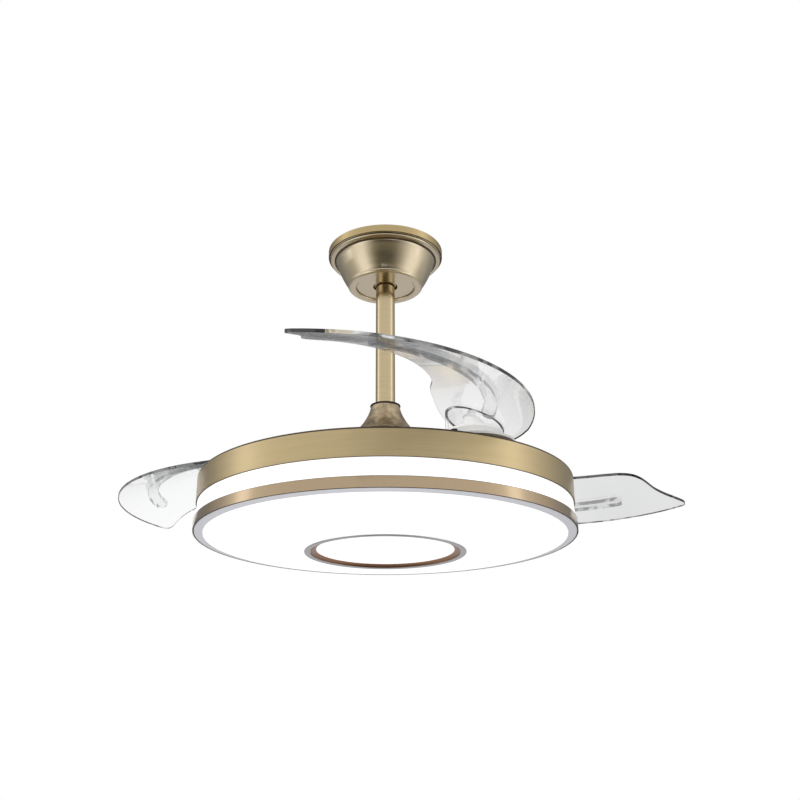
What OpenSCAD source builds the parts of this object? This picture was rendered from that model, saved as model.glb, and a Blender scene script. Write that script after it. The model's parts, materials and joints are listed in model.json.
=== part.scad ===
// Ceiling fan with three clear blades that fold in over a round lamp.
// Frame: +Z up, origin on the ceiling in the middle of the hanger bracket, everything hangs below it.
// Lamp heights are measured up from the lamp datum, the bottom edge of the lower ring.

/* [Overall] */
// Distance from the ceiling down to the lower ring's bottom edge
ceiling_drop = 425; // [415:5:600]
// Outer radius of the lower ring
lamp_r = 250; // [248:1:256]
// Swing of a blade from folded to open, in degrees
open_angle = 73; // [60:1:74]

/* [Canopy] */
// Outer radius of the canopy's wall at the ceiling
canopy_r = 80; // [78:0.5:84]
// Height of the canopy
canopy_h = 58; // [57:0.5:70]
// Outer radius of the canopy's bottom lip
canopy_lip_r = 53; // [50:0.5:60]
// Thickness of the canopy's sheet
canopy_wall = 1.3; // [1:0.1:2]

/* [Suspension] */
// Outer radius of the downrod
rod_r = 13.5; // [12:0.25:14]
// Wall of the downrod
rod_wall = 2; // [1.5:0.25:3]
// Radius of the hanger ball
ball_r = 24; // [22:0.5:25]
// Radius of the cross pins through ball and yoke
pin_r = 3; // [2.5:0.25:3.5]
// Outer radius of the motor's hollow shaft
shaft_r = 8.5; // [8:0.25:9]
// Radius of the supply lead
lead_r = 2.4; // [2:0.1:2.5]

/* [Motor] */
// Outer radius of the rotor flange
motor_r = 88; // [86:0.5:96]
// Radius over the stator's teeth
stator_r = 70; // [64:0.5:72]
// Height of the stator's stack of laminations
stack_h = 20; // [14:1:22]
// Number of stator teeth
tooth_n = 12; // [9:3:12]

/* [Blades] */
// Distance of a blade's pivot from the fan's axis
pivot_r = 194; // [190:1:196]
// Outer radius of the folded blades
blade_ro = 248; // [246:1:250]
// Inner radius of the folded blades
blade_ri = 134; // [128:1:138]
// Thickness of a blade
blade_t = 4; // [3:0.25:4.5]
// Rise of a blade towards its inner edge, per millimetre
blade_rise = 0.37; // [0.32:0.01:0.4]
// Outer radius of a blade's round boss
boss_r = 35; // [32:0.5:36]
// Height that the stiffening rib stands below the blade
rib_h = 5; // [3:0.5:6]
// Width of the stiffening rib
rib_w = 17; // [12:1:20]

/* [Lamp] */
// Height of the brushed upper band
band_h = 35; // [30:1:45]
// Height of the lower ring
ring_h = 14; // [12:1:18]
// Width of the flat bottom rim
rim_w = 13; // [10:1:18]
// Depth that the bottom diffuser domes down
dome_h = 20.5; // [16:0.5:26]
// Radius of the hole in the bottom diffuser
well_r = 104.5; // [100:0.5:112]
// Height of the centre diffuser above the hole's edge
well_depth = 3; // [2:0.5:6]

/* [Hidden] */
$fn = 96;
eps = 0.01;
seat = 0.3;               // gap left where two curved faces seat
slip = 0.05;              // radial clearance of running fits

// Canopy and hanger bracket
plate_t = 2;
plate_r = canopy_r - 18;
ceiling_hole_x = 45;
ceiling_hole_r = 3;
wire_hole_r = 8;
cradle_y = 16;
cradle_x = ball_r + 4;
cradle_z = -44;           // top face of the cradle's seat plate
seat_r = 0.825 * ball_r;
ball_z = cradle_z + sqrt((ball_r + seat) * (ball_r + seat) - seat_r * seat_r);
ball_top = 18;
ball_bottom = 19;
rod_top = ball_z + ball_top + 2;
trim_r = canopy_r + 2.6;
trim_h = 10;
tab_r = canopy_r - canopy_wall - seat;
tab_w = 14;
tab_h = trim_h - 1;
canopy_screw_z = -5.5;
canopy_screw_r = 1.9;
base_disc_r = canopy_lip_r - 12.4;
base_disc_t = 1.2;
base_disc_z = 2.5 - canopy_h;
base_hole_r = rod_r + 4;  // leaves room for the rod's tilt

// Heights above the lamp datum
band_z = 36;
band_top = band_z + band_h;
band_r = lamp_r - 2;
sheet_t = 1.2;
chassis_z = band_z + 2;
chassis_top = chassis_z + sheet_t;
deck_z = band_top - 2.6;
deck_t = 1.4;
carrier_z = band_top + 5;
carrier_t = 3;
carrier_top = carrier_z + carrier_t;
cup_floor = 4;
lower_bearing_z = carrier_top + cup_floor;
bearing_h = 10;
bearing_r = 17.5;
stack_z = lower_bearing_z + bearing_h + 2;
coil_over = 4;
cup_top = stack_z + stack_h + coil_over + 1.5;
upper_bearing_z = cup_top + 1;
yoke_z = upper_bearing_z + bearing_h + 5;
rod_bottom = yoke_z + 16;
clevis_z = yoke_z + 25.5;
set_screw_z = yoke_z + 38.5;
yoke_top = yoke_z + 46;
yoke_r = rod_r + 4.2;
cover_top = yoke_top + 1.7;
gasket_h = 2.2;
shaft_bottom = chassis_z - 10;
shaft_top = rod_bottom - 2;

// Motor
air_gap = 1.2;
magnet_t = 5;
cup_ri = stator_r + air_gap + magnet_t + 0.3;
cup_ro = cup_ri + 3.5;
tooth_w = 9;
coil_w = 3;
magnet_n = 14;
race_ball_r = 2.3;
race_pitch_r = 13;
race_gap = 0.12;
spacer_r = shaft_r + 2.5;
rotor_screw_n = 6;
carrier_screw_n = 6;
carrier_screw_ring = 52;

// Blades
blade_z = carrier_top + 7;       // underside of a blade at its outer edge
hub_gap = 1.5;
hub_z = carrier_top + hub_gap;   // underside of a blade's boss
bush_r = 8.5;
bolt_r = 6;
hub_r = 13;
hub_top = blade_z + blade_rise * (blade_ro - pivot_r) + blade_t + 5;
web_t = 3;
boss_wall = 3;
blade_n = 3;
pivot_azimuth = -56.6;           // pivot of the first blade
arm_w = 60;
pad_r = 48;
lug_r = boss_r + 6;
lug_w = 8;
stop_r = boss_r + 5;
bumper_r = 4;
bumper_h = 7;
spring_r = 17;
spring_wire = 1;
spring_turns = 3.5;
spring_pitch = 2.5;
spring_h = 2 * spring_wire + spring_pitch * spring_turns;
web_z = carrier_top + spring_h + 2 * seat;

// Lamp
skin_t = 2;
dome_r = lamp_r - rim_w;
rim_drop = 1.5;           // how far the rim slopes down towards the diffuser
chip = 5;
board_z = 8;
board_t = 1.6;
driver_size = [110, 42, 20];
driver_x = 42;
driver_z = chassis_z - driver_size[2];
lead_y = rod_r - rod_wall - lead_r - 1.4;

// ---- helpers ----
module tube(ro, ri, z0, z1) {
    translate([0, 0, z0]) difference() {
        cylinder(r = ro, h = z1 - z0);
        translate([0, 0, -1]) cylinder(r = ri, h = z1 - z0 + 2);
    }
}

module rod(r, z0, z1) {
    translate([0, 0, z0]) cylinder(r = r, h = z1 - z0);
}

module around(n, r, start = 0) {
    for (i = [0 : n - 1]) rotate([0, 0, start + i * 360 / n]) translate([r, 0, 0]) children();
}

module at_lamp() {
    translate([0, 0, -ceiling_drop]) children();
}

module along_x(r, x0, x1) {
    translate([x0, 0, 0]) rotate([0, 90, 0]) cylinder(r = r, h = x1 - x0);
}

function lerp(a, b, t) = a + (b - a) * t;
function polar(a, r) = [r * cos(a), r * sin(a)];

// Point on a smooth curve through p[i] and p[i + 1]
function between(p, i, t) =
    let (a = p[max(i - 1, 0)], b = p[i], c = p[i + 1], d = p[min(i + 2, len(p) - 1)])
    0.5 * (2 * b + (c - a) * t + (2 * a - 5 * b + 4 * c - d) * t * t
        + (3 * b - a - 3 * c + d) * t * t * t);
function smooth(p, n) = [for (i = [0 : len(p) - 2]) for (k = [0 : n - 1]) between(p, i, k / n)];
function reversed(p) = [for (i = [len(p) - 1 : -1 : 0]) p[i]];

// A tube of n sides that follows a list of points
function unit(v) = v / norm(v);
function heading(p, i) =
    unit(p[min(i + 1, len(p) - 1)] - p[max(i - 1, 0)]);
function side_of(d) = abs(d[1]) > 0.9 ? unit(cross(d, [1, 0, 0])) : unit(cross(d, [0, 1, 0]));
function tube_rings(p, r, n) = [
    for (i = [0 : len(p) - 1]) let (d = heading(p, i), u = side_of(d), v = cross(d, u))
        for (k = [0 : n - 1]) p[i] + r * (cos(360 * k / n) * u + sin(360 * k / n) * v)
];
function tube_sides(m, n) = [
    for (i = [0 : m - 2]) for (k = [0 : n - 1]) let (a = i * n + k, b = i * n + (k + 1) % n)
        each [[a, a + n, b], [b, a + n, b + n]]
];
module swept_tube(p, r, n) {
    m = len(p);
    polyhedron(
        points = tube_rings(p, r, n),
        faces = concat(
            tube_sides(m, n),
            [for (k = [1 : n - 2]) [0, k, k + 1]],
            [for (k = [1 : n - 2]) [(m - 1) * n, (m - 1) * n + k + 1, (m - 1) * n + k]]
        )
    );
}

// ---- ceiling fixings ----
module canopy_screw_axes() {
    around(3, tab_r, 90) translate([0, 0, canopy_screw_z]) children();
}

module hanger_bracket() {
    color("silver") difference() {
        union() {
            translate([0, 0, -plate_t]) cylinder(r = plate_r, h = plate_t);
            for (s = [-1, 1]) translate([s * (cradle_x + 1) - 1, -cradle_y, cradle_z - plate_t])
                cube([2, 2 * cradle_y, -cradle_z]);
            translate([-cradle_x - 1, -cradle_y, cradle_z - plate_t])
                cube([2 * cradle_x + 2, 2 * cradle_y, plate_t]);
            intersection() {
                rod(tab_r, -tab_h, 0);
                around(3, 0, 90) {
                    translate([plate_r - 4, -tab_w / 2, -plate_t]) cube([tab_r, tab_w, plate_t]);
                    translate([tab_r - 2, -tab_w / 2, -tab_h]) cube([4, tab_w, tab_h]);
                }
            }
        }
        for (s = [-1, 1]) translate([s * ceiling_hole_x, 0, -plate_t - 1])
            cylinder(r = ceiling_hole_r, h = plate_t + 2);
        translate([0, 0, -plate_t - 1]) cylinder(r = wire_hole_r, h = plate_t + 2);
        translate([0, 0, cradle_z - plate_t - 1]) cylinder(r = seat_r, h = plate_t + 2);
        canopy_screw_axes() along_x(canopy_screw_r + slip, -4, 2);
    }
}

module terminal_block() {
    color("ivory") translate([0, -30, -plate_t - 13]) difference() {
        translate([-16, -8, 0]) cube([32, 16, 13]);
        for (i = [-1 : 1]) translate([i * 10, -10, 4]) rotate([-90, 0, 0]) cylinder(r = 2, h = 12);
    }
}

module receiver_box() {
    color("white") translate([-30, 24, -plate_t - 21]) difference() {
        cube([60, 19, 21]);
        translate([8, 9.5, -1]) cylinder(r = 2.2, h = 8);
        translate([52, 9.5, -1]) cylinder(r = 2.2, h = 8);
    }
}

// Outside of the canopy from the ceiling down, then the inside back up
canopy_side = [
    [canopy_r, -0.5], [canopy_r, -trim_h - 0.6], [canopy_r - 2, -trim_h - 1.2],
    [canopy_r - 2, -trim_h - 1.8], [canopy_r - 0.5, -trim_h - 2.4], [canopy_r - 0.5, -trim_h - 4.4],
    [canopy_r - 2, -trim_h - 5], [canopy_r - 9, -trim_h - 6]
];
function canopy_slope(t) =
    [lerp(canopy_r - 10, canopy_lip_r + 1.2, t) + 1.6 * sin(180 * t),
     lerp(-trim_h - 7, 5 - canopy_h, t)];
function canopy_lip(a) = [canopy_lip_r - 4 + 4 * cos(a), 4 - canopy_h + 4 * sin(a)];

module canopy() {
    slope = [for (i = [0 : 8]) canopy_slope(i / 8)];
    lip = [for (a = [0 : -15 : -90]) canopy_lip(a)];
    w = canopy_wall;
    inside = [
        [base_disc_r + 0.5, -canopy_h], [base_disc_r + 0.5, base_disc_z + base_disc_t + 0.1],
        [base_disc_r - 4, base_disc_z + base_disc_t + 0.1],
        [base_disc_r - 4, base_disc_z + 2 * base_disc_t + 0.1],
        [canopy_lip_r - 5, base_disc_z + 2 * base_disc_t + 0.1], [canopy_lip_r - w, 7 - canopy_h]
    ];
    back = [for (i = [7 : -1 : 0]) canopy_slope(i / 8) - [w, 0]];
    top = [[canopy_r - 9 - w, -trim_h - 5.4], [canopy_r - w - 2, -trim_h - 3.8],
        [canopy_r - w - 2, -trim_h], [canopy_r - w, -trim_h + 0.6], [canopy_r - w, -0.5]];
    color("#8c7b52") difference() {
        rotate_extrude() polygon(concat(canopy_side, slope, lip, inside, back, top));
        canopy_screw_axes() along_x(canopy_screw_r + 0.4, -1, 4);
    }
}

module canopy_trim_ring() {
    color("#8c7b52") rotate_extrude() polygon([
        [trim_r - 1, -0.6], [trim_r - 0.4, -0.6], [trim_r, -1.2], [trim_r, -trim_h + 0.6],
        [trim_r - 0.6, -trim_h], [canopy_r + 0.2, -trim_h], [canopy_r + 0.2, -trim_h + 0.9],
        [trim_r - 1, -trim_h + 0.9]
    ]);
}

module canopy_base_disc() {
    color("#9b8b5e") translate([0, 0, base_disc_z])
        tube(base_disc_r, base_hole_r, 0, base_disc_t);
}

module canopy_screws() {
    color("silver") canopy_screw_axes() {
        along_x(canopy_screw_r, -4, canopy_wall + seat + 0.5);
        along_x(3.4, canopy_wall + seat + 0.05, canopy_wall + seat + 1.2);
    }
}

// ---- suspension ----
module hanger_ball() {
    color("dimgray") translate([0, 0, ball_z]) difference() {
        intersection() {
            sphere(r = ball_r);
            translate([0, 0, -ball_bottom]) cylinder(r = ball_r + 1, h = ball_bottom + ball_top);
        }
        translate([0, 0, -ball_r]) cylinder(r = rod_r + slip, h = 2 * ball_r);
        along_x(pin_r + slip, -ball_r, ball_r);
    }
}

module ball_cross_pin() {
    color("silver") translate([0, 0, ball_z]) along_x(pin_r, 3 - ball_r, ball_r - 3);
}

module downrod() {
    color("#8c7b52") difference() {
        tube(rod_r, rod_r - rod_wall, rod_bottom - ceiling_drop, rod_top);
        translate([0, 0, ball_z]) along_x(pin_r + slip, -ball_r, ball_r);
        at_lamp() translate([0, 0, clevis_z]) along_x(pin_r + slip, -ball_r, ball_r);
    }
}

// The lead goes down the rod beside the pins, through the shaft and across to the driver
lead_route = concat(
    [for (z = [rod_top : -30 : rod_bottom + 30 - ceiling_drop]) [0, lead_y, z]],
    [for (p = [[0, lead_y, rod_bottom + 12], [0, 4.6, rod_bottom + 5], [0, 2.6, rod_bottom - 1]])
        p - [0, 0, ceiling_drop]],
    [for (z = [shaft_top - 12 : -25 : shaft_bottom + 10]) [0, 2, z - ceiling_drop]],
    [for (p = [[0, 2, shaft_bottom + 2], [1, 2, shaft_bottom - 2], [5, 1.6, shaft_bottom - 5],
        [12, 1, shaft_bottom - 6.5], [24, 0.4, shaft_bottom - 6], [driver_x - 5, 0, shaft_bottom - 5],
        [driver_x, 0, shaft_bottom - 5]])
        p - [0, 0, ceiling_drop]]
);

module supply_lead() {
    color("gray") swept_tube(lead_route, lead_r, 8);
}

module lead_connector() {
    color("white") translate([0, lead_y, rod_top]) difference() {
        translate([-6, -2.8, 0]) cube([12, 5.6, 5]);
        for (x = [-4, 0, 4]) translate([x, 0, 2]) cylinder(r = 1, h = 4);
    }
}

module rod_gasket() {
    color("black") at_lamp() rotate_extrude() polygon([
        [rod_r + slip, cover_top], [rod_r + 6.8, cover_top], [rod_r + 7.4, cover_top + 0.6],
        [rod_r + 7.4, cover_top + gasket_h - 0.8], [rod_r + 6.6, cover_top + gasket_h],
        [rod_r + slip, cover_top + gasket_h]
    ]);
}

// Trumpet of the yoke cover: how far it stands out from the rod at each height above its base
cover_z = yoke_z + 1.5;
cover_profile = [[44, 0], [42.5, 1.4], [34, 4.6], [26.5, 9.5], [19, 18.5], [14.5, 25.5], [10.5, 33],
    [8, 39.5], [6.3, cover_top - cover_z]];

module yoke_cover() {
    outer = concat(smooth(cover_profile, 3), [cover_profile[len(cover_profile) - 1]]);
    under = cover_top - cover_z - sheet_t;
    color("#6f604a") at_lamp() translate([0, 0, cover_z]) rotate_extrude() polygon(concat(
        [for (p = outer) p + [rod_r, 0]],
        [[rod_r + 0.4, cover_top - cover_z], [rod_r + 0.4, under]],
        [for (p = reversed(outer)) if (p[1] < under) [p[0] + rod_r - sheet_t, p[1]]]
    ));
}

module yoke_coupling() {
    color("gray") at_lamp() difference() {
        union() {
            rod(yoke_r - 2, yoke_z, rod_bottom + 1);
            rod(yoke_r, rod_bottom, yoke_top);
        }
        rod(shaft_r, yoke_z - 1, shaft_top);
        rod(shaft_r - 2, shaft_top - 1, rod_bottom + 1);
        rod(rod_r + slip, rod_bottom, yoke_top + 1);
        translate([0, 0, clevis_z]) along_x(pin_r + slip, -yoke_r - 1, yoke_r + 1);
        translate([0, 0, set_screw_z]) rotate([0, 0, 90]) along_x(2.5, -yoke_r - 1, yoke_r + 1);
    }
}

module clevis_pin() {
    color("silver") at_lamp() translate([0, 0, clevis_z]) difference() {
        union() {
            along_x(pin_r, -yoke_r - 0.5, yoke_r + 3.2);
            along_x(pin_r + 1.2, -yoke_r - 2, -yoke_r - 0.1);
        }
        translate([yoke_r + 1.7, 0, -5]) cylinder(r = 0.9, h = 10, $fn = 24);
    }
}

module cotter_pin() {
    color("silver") at_lamp() translate([yoke_r + 1.7, 0, clevis_z]) {
        translate([0, 0, -5.5]) cylinder(r = 0.85, h = 9.5, $fn = 24);
        translate([0, 0, 4.5]) rotate([90, 0, 0]) rotate_extrude($fn = 32)
            translate([1.1, 0]) circle(r = 0.6, $fn = 24);
    }
}

module yoke_set_screws() {
    color("dimgray") at_lamp() translate([0, 0, set_screw_z]) for (s = [90, 270])
        rotate([0, 0, s]) difference() {
            along_x(2.45, rod_r + 0.05, yoke_r + 0.3);
            along_x(1.3, yoke_r - 1.5, yoke_r + 1);
        }
}

module motor_shaft() {
    color("silver") at_lamp() tube(shaft_r, shaft_r - 3, shaft_bottom, shaft_top);
}

module shaft_spacers() {
    color("silver") at_lamp() {
        tube(spacer_r, shaft_r, chassis_top + 23, lower_bearing_z);
        tube(spacer_r, shaft_r, upper_bearing_z + bearing_h, yoke_z);
        tube(spacer_r, shaft_r, lower_bearing_z + bearing_h, stack_z);
        tube(spacer_r, shaft_r, stack_z + stack_h, upper_bearing_z);
    }
}

module race_groove() {
    rotate_extrude() translate([race_pitch_r, bearing_h / 2])
        circle(r = race_ball_r + race_gap, $fn = 48);
}

module each_bearing() {
    for (z = [lower_bearing_z, upper_bearing_z]) translate([0, 0, z]) children();
}

module bearing_inner_races() {
    color("silver") at_lamp() each_bearing() difference() {
        tube(race_pitch_r - 1.2, shaft_r, 0, bearing_h);
        race_groove();
    }
}

module bearing_outer_races() {
    color("silver") at_lamp() each_bearing() difference() {
        tube(bearing_r, race_pitch_r + 1.2, 0, bearing_h);
        race_groove();
    }
}

module bearing_balls() {
    color("gainsboro") at_lamp() each_bearing() around(9, race_pitch_r)
        translate([0, 0, bearing_h / 2]) sphere(r = race_ball_r, $fn = 32);
}

// ---- motor ----
module stator_core() {
    color("slategray") at_lamp() translate([0, 0, stack_z]) difference() {
        union() {
            tube(24, shaft_r, 0, stack_h);
            around(tooth_n, 0) translate([22, -tooth_w / 2, 0])
                cube([stator_r - 26, tooth_w, stack_h]);
            around(tooth_n, 0) intersection() {
                tube(stator_r, stator_r - 6, 0, stack_h);
                translate([0, -tooth_w, 0]) cube([stator_r + 1, 2 * tooth_w, stack_h]);
            }
        }
    }
}

module stator_coils() {
    coil_in = tooth_n > 11 ? 36 : 30;
    color("#b5651d") at_lamp() around(tooth_n, coil_in) difference() {
        translate([0, -tooth_w / 2 - coil_w, stack_z - coil_w])
            cube([stator_r - 7 - coil_in, tooth_w + 2 * coil_w, stack_h + 2 * coil_w]);
        translate([-1, -tooth_w / 2 - 0.1, stack_z - 0.1])
            cube([stator_r, tooth_w + 0.2, stack_h + 0.2]);
    }
}

module rotor_cup() {
    color("#8c7b52") at_lamp() difference() {
        union() {
            rod(cup_ro, carrier_top, carrier_top + 3);
            tube(cup_ro, cup_ri, carrier_top, cup_top);
            tube(motor_r, cup_ri, cup_top - 3, cup_top);
            rod(bearing_r + 4, carrier_top, lower_bearing_z + bearing_h - 1);
        }
        rod(bearing_r, lower_bearing_z, cup_top);
        rod(spacer_r + 2.5, carrier_top - 1, cup_top);
        around(carrier_screw_n, carrier_screw_ring) rod(2, carrier_top - 1, carrier_top + 4);
        around(rotor_screw_n, (cup_ro + motor_r) / 2, 30) rod(1.5, cup_top - 4, cup_top + 1);
    }
}

module rotor_cover() {
    rim = cup_top + 3;
    crown = upper_bearing_z + bearing_h;
    color("#8c7b52") at_lamp() difference() {
        union() {
            rotate_extrude() polygon([
                [bearing_r, crown - 1], [bearing_r + 14, crown - 2], [cup_ro, rim + 1],
                [motor_r - 2, rim + 0.5], [motor_r, rim - 1], [motor_r, cup_top],
                [cup_ri + 2, cup_top], [cup_ri, rim - 2], [bearing_r + 15, crown - 5],
                [bearing_r, crown - 4]
            ]);
            tube(bearing_r + 4, bearing_r - 1, upper_bearing_z + 1, crown);
            rod(bearing_r + 4, crown - 1, crown + 1.5);
        }
        rod(bearing_r, upper_bearing_z - 4, crown);
        rod(spacer_r + 2.5, crown - 2, crown + 2);
        around(rotor_screw_n, (cup_ro + motor_r) / 2, 30) rod(1.8, cup_top - 1, rim + 4);
    }
}

module rotor_magnets() {
    color("darkslategray") at_lamp() around(magnet_n, 0)
        rotate_extrude(angle = 360 / magnet_n - 1.5)
            translate([stator_r + air_gap, stack_z - 1]) square([magnet_t, stack_h + 2]);
}

module rotor_screws() {
    color("silver") at_lamp() around(rotor_screw_n, (cup_ro + motor_r) / 2, 30) {
        rod(1.45, cup_top - 3, cup_top + 4.2);
        rod(2.8, cup_top + 4, cup_top + 5.6);
    }
}

// ---- blade carrier ----
module each_pivot() {
    for (k = [0 : blade_n - 1]) rotate([0, 0, pivot_azimuth - 120 * k]) translate([pivot_r, 0, 0])
        children();
}

// Angle at the pivot from its lug to the edge of the bumper that stops it
stop_angle = asin((lug_w / 2 + bumper_r + seat) / stop_r);
lug_rest = 200;

module blade_carrier() {
    color("#8c7b52") at_lamp() difference() {
        union() {
            rod(motor_r + 4, carrier_z, carrier_top);
            each_pivot() {
                translate([-pivot_r, -arm_w / 2, carrier_z]) cube([pivot_r, arm_w, carrier_t]);
                rod(pad_r, carrier_z, carrier_top);
                rod(hub_r + 1, carrier_z, hub_z - seat);
            }
        }
        rod(spacer_r + 2.5, carrier_z - 1, carrier_top + 1);
        each_pivot() {
            rod(bolt_r, carrier_z - 1, hub_z);
            for (x = [-80, -55]) translate([x, 0, 0]) rod(9, carrier_z - 1, carrier_top + 1);
        }
        around(carrier_screw_n, carrier_screw_ring) rod(2.2, carrier_z - 1, carrier_top + 1);
    }
}

module carrier_screws() {
    color("silver") at_lamp() around(carrier_screw_n, carrier_screw_ring) {
        rod(1.95, carrier_z - 0.5, carrier_top + 2.5);
        rod(4, carrier_z - 2.4, carrier_z);
    }
}

module pivot_bolts() {
    color("silver") at_lamp() each_pivot() {
        rod(9, carrier_z - 2.4, carrier_z);
        rod(bolt_r, carrier_z - eps, hub_top + 0.4);
        rod(4, hub_top, hub_top + 9);
    }
}

module pivot_nuts() {
    color("silver") at_lamp() each_pivot() difference() {
        union() {
            rod(11, hub_top + 0.4, hub_top + 1.8);
            translate([0, 0, hub_top + 1.7]) cylinder(r = 7.5, h = 5, $fn = 6);
            rod(5.8, hub_top + 6, hub_top + 8.2);
        }
        rod(4, hub_top, hub_top + 10);
    }
}

function coil_point(t) =
    [spring_r * cos(360 * t), spring_r * sin(360 * t), spring_wire + seat + spring_pitch * t];
spring_steps = 8;
spring_path = [for (i = [0 : spring_steps * spring_turns]) coil_point(i / spring_steps)];

module return_springs() {
    color("dimgray") at_lamp() each_pivot() translate([0, 0, carrier_top])
        swept_tube(spring_path, spring_wire, 6);
}
// Least gap between one turn and the next, measured on the path's points
echo(spring_gap = min([for (i = [0 : len(spring_path) - spring_steps - 1])
    norm(spring_path[i + spring_steps] - spring_path[i])]) - 2 * spring_wire);

module stop_bumpers() {
    open_stop = lug_rest + open_angle + stop_angle;
    folded_stop = lug_rest - stop_angle;
    color("black") at_lamp() each_pivot() for (a = [open_stop, folded_stop])
        rotate([0, 0, a]) translate([stop_r, 0, 0])
            rod(bumper_r, carrier_top, carrier_top + bumper_h);
}

// ---- blades, drawn folded: arc centre on the fan's axis, pivot at [pivot_r, 0] ----
// Points are [angle, share of the way from the inner arc to the outer one].
// Edge of the tip, from the outer corner in to the inner arc. It curves round the next blade's boss.
tip_edge = [[-108, 1], [-109.3, 0.974], [-109.6, 0.921], [-108.8, 0.825], [-107.4, 0.684],
    [-106.8, 0.544], [-107.4, 0.42], [-107.8, 0.316], [-106.3, 0.202], [-101, 0.114], [-92, 0.057],
    [-80, 0.018], [-68, 0]];
// Edge round the boss, from the inner arc out to the outer one
root_edge = [[-24, 0], [-16, -0.02], [-10, -0.01], [-4, 0.045], [4, 0.15], [9.4, 0.307],
    [11.2, 0.526], [9, 0.763], [5, 0.904], [0, 0.965], [-5, 0.987], [-10, 1]];
function as_points(p) = [for (q = p) polar(q[0], lerp(blade_ri, blade_ro, q[1]))];
blade_outline = concat(
    smooth(as_points(tip_edge), 3),
    [for (a = [-68 : 4 : -28]) polar(a, blade_ri)],
    smooth(as_points(root_edge), 3),
    [for (a = [-10 : -4 : -106]) polar(a, blade_ro)]
);
rib_mid = pivot_r + 5;
rib_from = -12;
rib_to = -86;
cone_in = blade_ri - 14;
cone_out = blade_ro + 12;
function blade_under(r) = blade_z + blade_rise * (blade_ro - r);

// Layer between two heights measured from the blade's underside
module cone_layer(low, high) {
    rotate_extrude() polygon([
        [cone_in, blade_under(cone_in) + low], [cone_out, blade_under(cone_out) + low],
        [cone_out, blade_under(cone_out) + high], [cone_in, blade_under(cone_in) + high]
    ]);
}

module under_blade(high) {
    rotate_extrude() polygon([
        [cone_in, hub_z], [cone_out, hub_z],
        [cone_out, blade_under(cone_out) + high], [cone_in, blade_under(cone_in) + high]
    ]);
}

module rib_plan() {
    polygon(concat(
        [for (a = [rib_from : -4 : rib_to]) polar(a, rib_mid + rib_w / 2)],
        [for (s = [0 : 30 : 180]) polar(rib_to, rib_mid) + (rib_w / 2) * [cos(rib_to - s), sin(rib_to - s)]],
        reversed([for (a = [rib_from : -4 : rib_to]) polar(a, rib_mid - rib_w / 2)])
    ));
}

module folded_blade() {
    tall = hub_top - hub_z + 60;
    difference() {
        union() {
            intersection() {
                cone_layer(0, blade_t);
                translate([0, 0, hub_z]) linear_extrude(height = tall) polygon(blade_outline);
            }
            intersection() {
                cone_layer(-rib_h, 1);
                translate([0, 0, hub_z]) linear_extrude(height = tall) rib_plan();
            }
            intersection() {
                under_blade(1);
                translate([pivot_r, 0, 0]) tube(boss_r, boss_r - boss_wall, hub_z, hub_z + tall);
            }
            translate([pivot_r, 0, 0]) {
                rod(hub_r, hub_z, hub_top);
                tube(boss_r - 1, hub_r - 1, web_z, web_z + web_t);
                rotate([0, 0, lug_rest]) translate([boss_r - 2, -lug_w / 2, hub_z])
                    cube([lug_r - boss_r + 2, lug_w, 5]);
            }
        }
        translate([pivot_r, 0, 0]) rod(bush_r, hub_z - 1, hub_top + 1);
    }
}

module open_blade(k) {
    rotate([0, 0, pivot_azimuth - 120 * k])
        translate([pivot_r, 0, 0]) rotate([0, 0, open_angle]) translate([-pivot_r, 0, 0]) children();
}

module blade(k) {
    color([0.85, 0.9, 0.95, 0.5]) at_lamp() open_blade(k) folded_blade();
}

module blade_bush(k) {
    color("peru") at_lamp() open_blade(k) translate([pivot_r, 0, 0])
        tube(bush_r, bolt_r + slip, hub_z - 0.2, hub_top + 0.2);
}

// ---- lamp ----
module lamp_hub() {
    color("gray") at_lamp() difference() {
        union() {
            rod(46, chassis_top, chassis_top + 4);
            rod(24, chassis_top, chassis_top + 23);
        }
        rod(shaft_r, chassis_top - 1, chassis_top + 24);
        around(4, 36, 45) rod(2, chassis_top - 1, chassis_top + 5);
    }
}

module lamp_hub_screws() {
    color("silver") at_lamp() around(4, 36, 45) {
        rod(1.95, chassis_z - 1, chassis_top + 4.5);
        rod(4, chassis_top + 4, chassis_top + 6.4);
    }
}

module shaft_nut() {
    color("silver") at_lamp() difference() {
        union() {
            rod(16, chassis_z - 1.4, chassis_z);
            translate([0, 0, chassis_z - 8.4]) cylinder(r = 14, h = 7.1, $fn = 6);
        }
        rod(shaft_r, chassis_z - 10, chassis_z + 1);
    }
}

module lamp_chassis() {
    color("white") at_lamp() difference() {
        tube(band_r - 1.5 - seat, shaft_r + 0.2, chassis_z, chassis_top);
        around(4, 36, 45) rod(2, chassis_z - 1, chassis_top + 1);
    }
}

module chassis_spacers() {
    color("silver") at_lamp() around(3, band_r - 43, 30) rod(5, chassis_top, deck_z);
}

module top_deck() {
    color("#8c7b52") at_lamp() tube(band_r - 1.5 - seat, 30, deck_z, deck_z + deck_t);
}

module upper_band() {
    ri = band_r - 1.5;
    color("#8c7b52") at_lamp() rotate_extrude() polygon([
        [ri, band_z], [band_r - 0.3, band_z], [band_r, band_z + 0.3], [band_r, band_top - 1],
        [band_r - 1, band_top], [ri - 6, band_top], [ri - 6, deck_z + deck_t],
        [ri, deck_z + deck_t], [ri, chassis_top + sheet_t], [ri - 8, chassis_top + sheet_t],
        [ri - 8, chassis_top], [ri, chassis_top]
    ]);
}

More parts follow.
